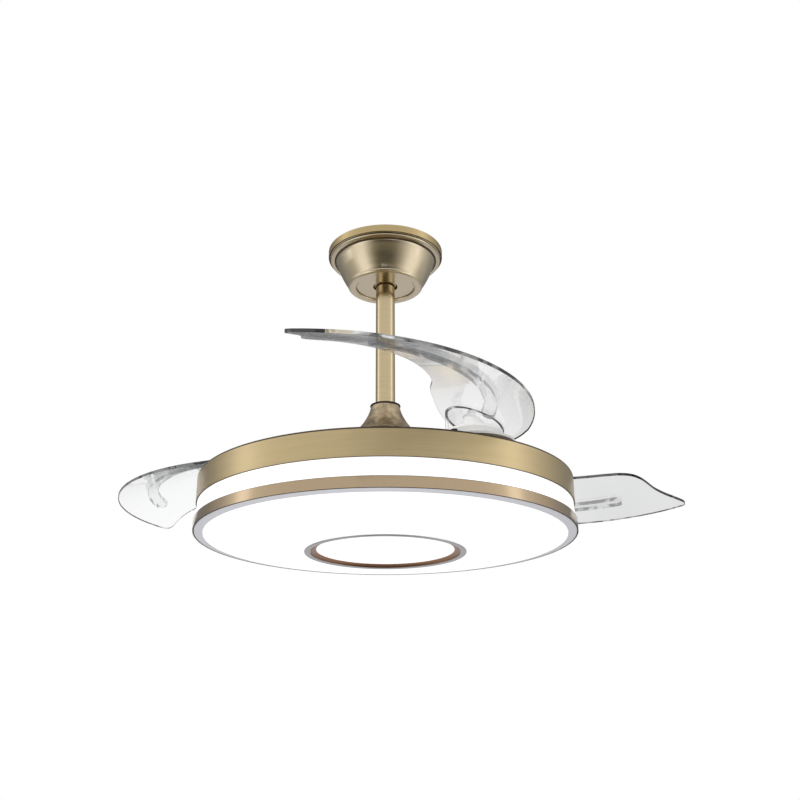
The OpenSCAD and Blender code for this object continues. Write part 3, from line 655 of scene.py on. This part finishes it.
class FAN_OT_canopy(bpy.types.Operator):
    """Make the canopy's shell, top ring and bottom disc"""

    bl_idname = "fan.canopy"
    bl_label = "Canopy"

    def execute(self, context):
        brass = material(brushed_brass, "canopy")
        trim = material(brushed_brass, "trim")
        # blackened brass for the grooves under the top ring and the crease under the rim: patina
        # there, laid on as painted shade too
        groove = material(dark_patina)
        wall = 1.3
        rim, slope = canopy_outside()
        lip = arc((49.6, -53.9), 4.1, 4, -82, 12) + [
            (46, -58), (43.5, -58), (42.2, -57.4), (41.6, -56.2)]
        inside = [(41.6, -54.3), (36.5, -54.3), (36.5, -53), (47.5, -53), (52.3, -51)]
        back = [(r - wall, z) for r, z in reversed(slope[:-2])]
        top = [(76.7, -13.8), (76.7, -10), (78.7, -9.4), (78.7, -0.5)]

        # faces that get the patina and painted shade: the groove under the top ring, and the rim's
        # underside next to the slope
        def in_groove(r, z):
            in_rim = -12.6 < z < -11.2 and r < 80
            under_rim = 71 < r < 74.5 and z > -17.2
            return in_rim or under_rim

        spun_piece("brass_canopy", rim + slope + lip + inside + back + top, "ceiling_mount",
                   brass, ["canopy"], rounding=0.15, edging=groove,
                   edged=in_groove)
        ring, low, high = reach("canopy_trim_ring")
        foot = low - 1
        spun_piece("brass_top_ring", [
            (ring - 1, high), (ring - 0.3, high), (ring, high - 0.4), (ring, foot + 0.7),
            (ring - 0.15, foot + 0.3), (ring - 0.5, foot), (ring - 1.2, foot),
            (ring - 2.3, foot + 0.2), (ring - 2.4, foot + 0.9), (ring - 1, foot + 0.9)],
            "ceiling_mount", trim, ["canopy_trim_ring"], rounding=0,
            edging=groove, edged=lambda r, z: z < foot + 0.1)
        disc, low, high = reach("canopy_base_disc")
        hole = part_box("downrod")[1].x / MM + 4
        spun_piece("brass_bottom_disc", [
            (hole, low), (disc, low), (disc, high), (hole + 4, high), (hole, low + 0.6)],
            "ceiling_mount", brass, ["canopy_base_disc"], rounding=0.2)
        return {"FINISHED"}


class FAN_OT_rod(bpy.types.Operator):
    """Make the downrod, the black gasket and the trumpet-shaped yoke cover"""

    bl_idname = "fan.rod"
    bl_label = "Rod and Yoke Cover"

    @staticmethod
    def washer(rod):
        """Closes the hole round the rod from inside the canopy, and tilts with the rod."""
        disc_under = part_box("canopy_base_disc")[0].z / MM
        inner, outer = rod + 0.1, rod + 7
        under, rise, thick = disc_under + 1.1, 3, 0.8
        spun_piece("brass_rod_washer", [
            (inner, under), (outer, under + rise), (outer, under + rise + thick),
            (inner, under + thick)],
            "suspension", material(brushed_brass, "drum"), rounding=0)

    def execute(self, context):
        rod, low, high = reach("downrod")
        bore = rod - 2
        spun_piece("brass_downrod", [(bore, low), (rod, low), (rod, high), (bore, high)],
                   "suspension", material(brushed_brass, "rod"), ["downrod"])
        self.washer(rod)
        ring, low, high = reach("rod_gasket")
        hole = rod + 0.1
        spun_piece("black_gasket", [(hole, low), (ring, low), (ring, high), (hole, high)],
                   "suspension", material(black_rubber), ["rod_gasket"],
                   rounding=0.9)
        _, low, high = reach("yoke_cover")
        wall = 1.2
        # how far the trumpet stands out from the rod, and the height over its foot
        stand = [(44, 0), (42.5, 1.4), (34, 4.6), (26.5, 9.5), (19, 18.5), (14.5, 25.5), (10.5, 33),
                 (8, 39.5), (6.3, high - low)]
        outer = [(rod + r, low + z) for r, z in smooth_line(stand, 6)]
        inner = [(r - wall, z) for r, z in reversed(outer) if z < high - wall]
        collar = [(rod + 0.4, high), (rod + 0.4, high - wall)]
        spun_piece("bronze_yoke_cover", outer + collar + inner, "suspension",
                   material(aged_bronze), ["yoke_cover"], rounding=0.3)
        return {"FINISHED"}


# ---- drum and lamp ----

class FAN_OT_drum(bpy.types.Operator):
    """Make the drum's brass band, its top deck, the lower ring and the rim"""

    bl_idname = "fan.drum"
    bl_label = "Drum Metal"

    def execute(self, context):
        brass = material(brushed_brass, "drum")
        # blackened brass along the band's top and bottom edges and the lower ring's edges: patina,
        # laid on as painted shade too
        edging = material(dark_patina)
        band, low, high = reach("upper_band")
        inner, lip, under = band - 1.5, band - 8, high - 1.1
        bend = 1.8
        outer = [(inner, low), (band - 0.5, low), (band, low + 0.5), (band, high - 2.5)]
        outer += arc((band - bend, high - bend), bend, 0, 90, 6)
        spun_piece("brass_band", outer + [(lip, high), (lip, under), (inner, under)],
                   "suspension", brass, ["upper_band"], rounding=0,
                   edging=edging,
                   edged=lambda r, z: high - 2.4 < z < high - 0.05 or z < low + 0.4)
        deck, low, high = reach("top_deck")
        hole, bead = 30, 6
        spun_piece("brass_deck", [
            (hole, low), (deck, low), (deck, high), (deck - bead, high), (hole + bead, high),
            (hole + bead / 2, high + 0.9), (hole, high + 0.9)],
            "suspension", brass, ["top_deck"], rounding=0.3)
        ring, low, high = reach("lower_ring")
        inner, ledge = ring - 1.4, ring - 6.4
        spun_piece("champagne_ring", [
            (inner, low), (ring - 0.5, low), (ring, low + 0.5), (ring, high - 0.7),
            (ring - 0.3, high - 0.2), (ring - 0.8, high), (inner, high), (inner, high - 2.3),
            (ledge, high - 2.3), (ledge, high - 3.8), (inner, high - 3.8)],
            "suspension", material(satin_champagne), ["lower_ring"],
            rounding=0, edging=edging,
            edged=lambda r, z: z < low + 0.45 or high - 0.65 < z < high - 0.1)
        rim, low, high = reach("bottom_rim")
        hole, base = 237, DATUM / MM
        spun_piece("grey_rim", [
            (hole, low + 0.4), (hole + 0.6, low), (rim - 0.6, base + 0.2), (rim, base + 0.8),
            (rim, high), (rim - 2, high), (rim - 2, base + 1.6), (hole, base + 1.6)],
            "suspension", material(satin_rim), ["bottom_rim"], rounding=0.2)
        return {"FINISHED"}


class FAN_OT_lamp(bpy.types.Operator):
    """Make the lit diffusers and the well in the middle of the lamp"""

    bl_idname = "fan.lamp"
    bl_label = "Lamp"

    def execute(self, context):
        opal = material(opal_plastic)
        base = DATUM / MM
        skin = 2
        _, low, high = reach("side_diffuser")
        outer = smooth_line([
            (246.2, high), (246.25, high - 4), (246.8, base + 25.5), (247.6, base + 19.5),
            (248.2, base + 14.5), (248.25, low)], 5)
        inner = [(r - skin, z) for r, z in reversed(outer)]
        spun_piece("opal_side", outer + inner, "suspension", opal, ["side_diffuser"],
                   rounding=0)
        rim, hole = 236.7, 104.5
        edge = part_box("bottom_rim")[0].z / MM
        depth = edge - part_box("bottom_diffuser")[0].z / MM
        steps = 40

        def bowl(r):
            """Height of the bowl's underside: a parabola that hangs from the rim."""
            hang = 1 - (r / rim) ** 2
            return edge - depth * hang / (1 - (hole / rim) ** 2)

        stations = [hole + (rim - hole) * i / steps for i in range(steps + 1)]
        bottom = [(r, bowl(r)) for r in stations]
        flange = [(rim, base + 1.9), (rim + 6, base + 1.9), (rim + 6, base + 3.5),
                  (rim - 2, base + 3.5)]
        upper = [(r, bowl(r) + skin) for r in reversed(stations[:-1])]
        spun_piece("opal_bottom", bottom + flange + upper, "suspension", opal,
                   ["bottom_diffuser"], rounding=0.3)
        bezel, low, high = reach("well_bezel")
        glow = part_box("centre_diffuser")[0].z / MM
        mouth, lip = bezel - 8.5, bezel - 15.5
        meet = low + 0.5
        spun_piece("grey_bezel", [
            (bezel, low + 1.2), (bezel, low + 0.6), (bezel - 0.6, low), (bezel - 1.4, low),
            (mouth + 0.9, meet - 0.2), (mouth + 0.5, meet), (mouth + 0.3, meet + 1.2),
            (bezel - 3.6, meet + 1.2), (bezel - 3.6, high), (bezel - 2.1, high),
            (bezel - 2.1, low + 1.2)],
            "suspension", material(bezel_grey), ["well_bezel"], rounding=0.2)
        flange, _, high = reach("well_wall")
        cone = smooth_line([
            (mouth - 0.2, meet + 0.2), (mouth - 2.6, glow - 2.2), (lip, glow - 0.4)], 6)
        # painted shade in the blackened-brass finish along the foot of the cone, where it meets the
        # bezel
        spun_piece("copper_wall", [
            (mouth, high - 1.4), (flange, high - 1.4), (flange, high), (mouth - 1.6, high),
            (mouth - 1.6, glow - 0.1), (lip, glow - 0.1), *reversed(cone), (mouth, meet + 0.6)],
            "suspension", material(copper_wall), ["well_wall"], rounding=0,
            edging=material(dark_patina), edged=lambda r, z: z < meet + 0.35)
        disc, low, high = reach("centre_diffuser")
        spun_piece("opal_centre", [
            (0, low), (disc - 0.6, low), (disc, low + 0.6), (disc, high), (0, high)],
            "suspension", opal, ["centre_diffuser"], closed=False, rounding=0)
        return {"FINISHED"}


# ---- blades ----

def polar(degrees, radius):
    """The point at an angle and a radius."""
    angle = math.radians(degrees)
    return radius * math.cos(angle), radius * math.sin(angle)


def blade_outline():
    """Outline of a folded blade seen from above, arc centre on the axis, pivot on +X. Its edges
    are given as an angle and a share of the way from the inner arc to the outer one."""
    s = sizes()
    outer, inner = s.blade_outer / MM, s.blade_inner / MM
    tip = [(-108, 1), (-109.3, 0.974), (-109.6, 0.921), (-108.8, 0.825), (-107.4, 0.684),
           (-106.8, 0.544), (-107.4, 0.42), (-107.8, 0.316), (-106.3, 0.202), (-101, 0.114),
           (-92, 0.057), (-80, 0.018), (-68, 0)]
    root = [(-24, 0), (-16, -0.02), (-10, -0.01), (-4, 0.045), (4, 0.15), (9.4, 0.307),
            (11.2, 0.526), (9, 0.763), (5, 0.904), (0, 0.965), (-5, 0.987), (-10, 1)]
    tip, root = ([polar(a, inner + (outer - inner) * share) for a, share in edge]
                 for edge in (tip, root))
    line = (smooth_line(tip, 5) + [polar(a, inner) for a in range(-66, -25, 2)]
            + smooth_line(root, 5) + [polar(a, outer) for a in range(-12, -107, -2)])
    return metres(line)


def rib_outline():
    """Outline of the rib under a folded blade: an arc about the axis, with round ends."""
    s = sizes()
    middle = s.pivot_radius / MM + 5
    half = s.rib_width / MM / 2
    start, end, step = -12, -86, -2
    angles = range(start, end + step, step)
    outside = [polar(a, middle + half) for a in angles]
    tip = arc(polar(end, middle), half, end - 15, end - 165, 10)
    inside = [polar(a, middle - half) for a in reversed(angles)]
    root = arc(polar(start, middle), half, start - 195, start - 345, 10)
    return metres(outside + tip + inside + root)


def blade_under(x, y):
    """Height of a folded blade's underside over a point."""
    s = sizes()
    return DATUM + s.blade_height + s.blade_rise * (s.blade_outer - math.hypot(x, y))


def plate_over(outline, low, high, width, segments):
    """A plate between two heights over the blade's underside, with rounded edges."""
    bm = bmesh.new()
    bm.faces.new([bm.verts.new((x, y, 0)) for x, y in outline])
    for degrees in range(-108, 12, 3):  # cuts across the plate, so that it can curve
        side = Vector(polar(degrees + 90, 1.0)).to_3d()
        bmesh.ops.bisect_plane(
            bm, geom=bm.verts[:] + bm.edges[:] + bm.faces[:], plane_co=(0, 0, 0), plane_no=side,
            dist=MERGE)
    for vert in bm.verts:
        vert.co.z = blade_under(vert.co.x, vert.co.y) + low
    made = bmesh.ops.extrude_face_region(bm, geom=bm.faces[:], use_keep_orig=True)
    raised = [part for part in made["geom"] if isinstance(part, bmesh.types.BMVert)]
    bmesh.ops.translate(bm, verts=raised, vec=(0, 0, high - low))
    bmesh.ops.recalc_face_normals(bm, faces=bm.faces)
    rims = [e for e in sharp_edges(bm, math.radians(50))
            if abs((e.verts[0].co - e.verts[1].co).normalized().z) < 0.8]
    soften(bm, width, segments, rims)
    return bm


def boss_wall():
    """The hollow boss: its top edge follows the blade's underside."""
    s = sizes()
    pivot = Vector((s.pivot_radius, 0, 0))
    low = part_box("blade_1")[0].z
    radius = s.boss_radius
    bore = radius - 3 * MM
    crown, sink = -1.3 * MM, 0.5 * MM
    bm = spun_mesh([
        (bore, low), (radius, low), (radius, crown), (radius, 0), (bore, 0), (bore, crown)],
        steps=96, centre=pivot)
    for vert in bm.verts:  # the upper rings were given as heights over the blade's underside
        if vert.co.z > low + MM:
            vert.co.z += blade_under(vert.co.x, vert.co.y) + sink
    soften(bm, 0.0008, 3)
    return bm


def hub_and_web():
    """The hub round the bush, joined to the boss by a thin web above the spring."""
    s = sizes()
    pivot = Vector((s.pivot_radius, 0, 0))
    low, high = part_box("blade_bush_1")
    bottom, top = low.z + 0.2 * MM, high.z - 0.2 * MM
    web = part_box("return_springs")[1].z + 0.3 * MM
    reach_out = s.boss_radius - 1.5 * MM
    bore, hub = 8.6 * MM, 13 * MM
    bm = spun_mesh([
        (bore, bottom), (hub, bottom), (hub, web), (reach_out, web), (reach_out, web + 3 * MM),
        (hub, web + 3 * MM), (hub, top), (bore, top)], steps=72, centre=pivot)
    soften(bm, 0.0005, 2)
    return bm


def stop_lug():
    """The block on the boss that comes up against the bumpers."""
    s = sizes()
    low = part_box("blade_1")[0].z
    side, height = 8 * MM, 5 * MM
    bm = bmesh.new()
    bmesh.ops.create_cube(bm, size=1, matrix=Matrix.Translation((0, 0, 0.5)))
    bmesh.ops.scale(bm, verts=bm.verts, vec=(side, side, height))
    soften(bm, 0.0006, 2)
    at_pivot = Matrix.Translation((s.pivot_radius, 0, low))
    turn = Matrix.Rotation(math.radians(200), 4, "Z")
    outwards = Matrix.Translation((s.boss_radius + 2 * MM, 0, 0))
    bmesh.ops.transform(bm, verts=bm.verts, matrix=at_pivot @ turn @ outwards)
    return bm


def join_meshes(parts):
    """One mesh from several parts, each with a function that picks a face's material."""
    whole = bmesh.new()
    for part, paint in parts:
        part.normal_update()
        for face in part.faces:
            face.material_index = paint(face)
        mesh = bpy.data.meshes.new("part")
        part.to_mesh(mesh)
        part.free()
        whole.from_mesh(mesh)
        bpy.data.meshes.remove(mesh)
    return whole


def open_place(pivot):
    """Takes a folded blade with its pivot on +X to its open place at a joint's pivot."""
    s = sizes()
    around = Matrix.Rotation(math.atan2(pivot[1], pivot[0]), 4, "Z")
    out = Matrix.Translation((s.pivot_radius, 0, 0))
    swing = Matrix.Rotation(s.open_angle, 4, "Z")
    return around @ out @ swing @ out.inverted()


class FAN_OT_blades(bpy.types.Operator):
    """Make the three clear blades, each with its rib, boss, hub and stop lug"""

    bl_idname = "fan.blades"
    bl_label = "Clear Blades"

    def execute(self, context):
        s = sizes()
        materials = [
            material(clear_acrylic), material(clear_moulding), material(acrylic_edge),
            material(moulding_line, "edge"), material(moulding_line, "rib"),
            material(milky_nylon)]
        tinted, clear, cut, edge_line, rib_line, white = range(6)
        tip_from = math.radians(-100)
        rib_sink, rib_round = 0.0005, 0.0009

        # the blade's edges and the boss's top edge get painted dark lines and runs of painted
        # reflection; the rib's sides get a painted dark line
        def plate_paint(face):
            middle = face.calc_center_median()
            level = abs(face.normal.z)  # 1 on a flat face and 0 on an upright one
            if level < 0.85 and math.atan2(middle.y, middle.x) < tip_from:
                return edge_line
            return cut if level < 0.3 else tinted

        def rib_paint(face):
            return rib_line if abs(face.normal.z) < 0.9 else clear

        def boss_paint(face):
            middle = face.calc_center_median()
            top = blade_under(middle.x, middle.y)
            return edge_line if middle.z > top - 0.9 * MM else clear

        for joint in BLADE_JOINTS:
            body = joint["child"]
            plate = plate_over(blade_outline(), 0, s.blade_thick, s.blade_edge_round, 3)
            rib = plate_over(rib_outline(), -s.rib_height, rib_sink, rib_round, 2)
            whole = join_meshes([
                (plate, plate_paint), (rib, rib_paint), (boss_wall(), boss_paint),
                (hub_and_web(), lambda face: white), (stop_lug(), lambda face: clear)])
            bmesh.ops.transform(whole, verts=whole.verts, matrix=open_place(joint["pos_m"]))
            make_piece("clear_" + body, whole, body, materials, [body])
        return {"FINISHED"}


# ---- rotor, fixings and what is inside ----

class FAN_OT_rotor(bpy.types.Operator):
    """Round the edges of the rotor's housing and the blade carrier, and finish them"""

    bl_idname = "fan.rotor"
    bl_label = "Rotor and Carrier"

    def execute(self, context):
        brass = material(brushed_brass, "drum")
        for node in ("rotor_cover", "rotor_cup"):
            softened_piece("brass_" + node, node, brass)
        softened_piece("white_blade_carrier", "blade_carrier", material(moulded_plastic, "white"))
        return {"FINISHED"}


# the frame's nodes that stay as they are, by the finish that they get
CARRIED_OVER = {
    zinc_steel: (
        "hanger_bracket", "canopy_screws", "ball_cross_pin", "yoke_coupling", "clevis_pin",
        "cotter_pin", "motor_shaft", "shaft_spacers", "bearing_inner_races",
        "bearing_outer_races", "bearing_balls", "lamp_hub", "lamp_hub_screws", "shaft_nut",
        "chassis_spacers", "board_spacers", "rotor_screws", "carrier_screws"),
    pale_nickel: ("pivot_bolts", "pivot_nuts", "return_springs"),
    dark_steel: ("stator_core", "rotor_magnets", "yoke_set_screws"),
    copper_winding: ("stator_coils",),
    black_rubber: ("stop_bumpers",),
    solder_mask: ("led_board",),
    milky_nylon: ("blade_bush_1", "blade_bush_2", "blade_bush_3"),
}
MOULDED = {
    "white": ("receiver_box", "lead_connector", "led_driver", "lamp_chassis", "hanger_ball"),
    "ivory": ("terminal_block",),
    "yellow": ("led_chips",),
    "grey": ("supply_lead",),
}


class FAN_OT_hardware(bpy.types.Operator):
    """Give the frame's fixings and inner pieces their finishes"""

    bl_idname = "fan.hardware"
    bl_label = "Fixings and Inner Pieces"

    def execute(self, context):
        for recipe, nodes in CARRIED_OVER.items():
            for node in nodes:
                self.dress(node, material(recipe))
        for shade, nodes in MOULDED.items():
            for node in nodes:
                self.dress(node, material(moulded_plastic, shade))
        return {"FINISHED"}

    @staticmethod
    def dress(node, finish):
        slots = NODES[node].material_slots
        for slot in slots:
            slot.material = finish
        if not slots:
            NODES[node].data.materials.append(finish)


# ---- camera, lamps and backdrop ----

def studio_world(world):
    """White to the eye. Metal sees soft boxes with dark gaps between them. Glass sees pale sides,
    one of them greyer, and dark poles, so that its edges darken most."""
    finish = Finish(world)
    direction = finish.use("TexCoord", output=0)
    parts = finish.use("SeparateXYZ", values={0: direction}).socket.node.outputs
    across, away, height = (Value(finish, part) for part in parts)
    turn = across.math("ARCTAN2", away * -1.0) * (0.5 / math.pi) + 0.5
    above = finish.ramp(turn, [
        (0.0, 0.06), (0.08, 0.08), (0.15, 0.14), (0.20, 0.28), (0.229, 0.46), (0.242, 0.76),
        (0.258, 0.76), (0.273, 0.46), (0.30, 0.41), (0.35, 0.39), (0.58, 0.39), (0.66, 0.41),
        (0.698, 0.48), (0.714, 0.76), (0.728, 0.76), (0.742, 0.47), (0.77, 0.36), (0.83, 0.20),
        (0.88, 0.12), (1.0, 0.06)])
    below = finish.ramp(turn, [
        (0.0, 0.30), (0.083, 0.18), (0.167, 0.15), (0.25, 0.24), (0.31, 0.58), (0.355, 0.58),
        (0.39, 0.26), (0.425, 0.07), (0.46, 0.03), (0.54, 0.03), (0.575, 0.07), (0.62, 0.22),
        (0.685, 0.58), (0.735, 0.58), (0.79, 0.24), (0.917, 0.18), (1.0, 0.30)])
    from_nadir = height * 0.5 + 0.5
    rise = finish.ramp(from_nadir, [(0.46, 0.0), (0.56, 1.0)])
    nadir = finish.ramp(from_nadir, [
        (0.0, 0.08), (0.09, 0.12), (0.13, 1.3), (0.165, 1.5), (0.22, 1.0)])
    gain = 2.5
    boxes = (below * nadir * (1 - rise) + above * rise) * gain
    poles = finish.ramp(height.math("ABSOLUTE", 0.0), [(0.7, 1.0), (0.95, 0.45)])
    sides = finish.ramp(turn, [
        (0.015, 1.0), (0.03, 1.08), (0.06, 1.08), (0.1, 1.0), (0.88, 1.0), (0.935, 0.78),
        (0.962, 0.78), (0.978, 1.0)])
    camera, glossy, through = (
        finish.use("LightPath", output=name)
        for name in ("Is Camera Ray", "Is Glossy Ray", "Is Transmission Ray"))
    level = glossy * (boxes - stage().sky) + stage().sky
    level = through * (poles * sides - level) + level
    level = camera * (1 - level) + level
    light = finish.use("Background", values={"Color": (1, 1, 1, 1), "Strength": level})
    finish.use("OutputWorld", values={"Surface": light})


def white_to_eye(finish):
    """A pale floor that the camera sees as white."""
    lit = finish.use("BsdfDiffuse", values={"Color": (0.8, 0.8, 0.8, 1)})
    glow = finish.use("Emission", values={"Color": (1, 1, 1, 1), "Strength": 1.0})
    seen, through = (
        finish.use("LightPath", output=name) for name in ("Is Camera Ray", "Is Transmission Ray"))
    mixed = finish.use("MixShader", values={0: seen.math("MAXIMUM", through), 1: lit, 2: glow})
    finish.use("OutputMaterial", values={"Surface": mixed})
    return finish.owner


def add_lamp(name, place, aim, size, power):
    lamp = bpy.data.lights.new(name, "AREA")
    lamp.size = size
    lamp.energy = power
    holder = bpy.data.objects.new(name, lamp)
    holder.location = place
    holder.rotation_euler = (Vector(aim) - Vector(place)).to_track_quat("-Z", "Y").to_euler()
    holder.visible_glossy = holder.visible_transmission = False
    bpy.context.scene.collection.objects.link(holder)


class FAN_OT_stage(bpy.types.Operator):
    """Set up the camera, the lamps, the white surroundings and the floor"""

    bl_idname = "fan.stage"
    bl_label = "Camera and Light"

    def execute(self, context):
        scene = context.scene
        settings = stage()
        scene.view_settings.view_transform = "Standard"
        scene.world = scene.world or bpy.data.worlds.new("World")
        studio_world(scene.world)
        camera = bpy.data.objects.new("Camera", bpy.data.cameras.new("Camera"))
        camera.data.lens = settings.camera_lens
        camera.data.sensor_width = 36
        camera.data.sensor_fit = "HORIZONTAL"
        camera.data.shift_x = settings.camera_shift
        camera.location = settings.camera_place
        camera.rotation_euler = (math.pi / 2 + settings.camera_tilt, 0, 0)
        scene.collection.objects.link(camera)
        scene.camera = camera
        middle = (0, 0, -0.3)
        floor_level, floor_half = -1.7, 3
        add_lamp("Key", (-1.4, -1.6, -0.9), middle, 1.4, settings.key_power)
        add_lamp("Fill", (1.6, -1.1, 0.1), middle, 1.6, settings.fill_power)
        add_lamp("Back", (0.3, 1.8, 0.6), middle, 1.6, settings.fill_power)
        bm = bmesh.new()
        bmesh.ops.create_grid(bm, x_segments=4, y_segments=4, size=floor_half)
        bmesh.ops.translate(bm, verts=bm.verts, vec=(0, 0, floor_level))
        mesh = bpy.data.meshes.new("floor")
        bm.to_mesh(mesh)
        bm.free()
        mesh.materials.append(material(white_to_eye))
        floor = bpy.data.objects.new("floor", mesh)
        scene.collection.objects.link(floor)
        floor.visible_glossy = False
        return {"FINISHED"}


OPERATORS = (
    FAN_OT_stage, FAN_OT_canopy, FAN_OT_rod, FAN_OT_drum, FAN_OT_lamp, FAN_OT_blades,
    FAN_OT_rotor, FAN_OT_hardware)
GROUPS = (FanSizes, FanFinishes, FanStage)


class FAN_PT_panel(bpy.types.Panel):
    """Lists the fan's pieces"""

    bl_idname = "FAN_PT_panel"
    bl_label = "Ceiling Fan"
    bl_space_type = "VIEW_3D"
    bl_region_type = "UI"
    bl_category = "Ceiling Fan"

    def draw(self, context):
        for operator in OPERATORS:
            self.layout.operator(operator.bl_idname)
        for group in (sizes(), finishes(), stage()):
            box = self.layout.box()
            for name in group.__annotations__:
                box.prop(group, name)


def register():
    for item in GROUPS + OPERATORS + (FAN_PT_panel,):
        bpy.utils.register_class(item)
    bpy.types.Scene.fan_sizes = PointerProperty(type=FanSizes)
    bpy.types.Scene.fan_finishes = PointerProperty(type=FanFinishes)
    bpy.types.Scene.fan_stage = PointerProperty(type=FanStage)


def unregister():
    for name in ("fan_sizes", "fan_finishes", "fan_stage"):
        delattr(bpy.types.Scene, name)
    for item in reversed(GROUPS + OPERATORS + (FAN_PT_panel,)):
        bpy.utils.unregister_class(item)


def main():
    register()
    for operator in OPERATORS:
        group, name = operator.bl_idname.split(".")
        getattr(getattr(bpy.ops, group), name)()


if __name__ == "__main__":
    main()
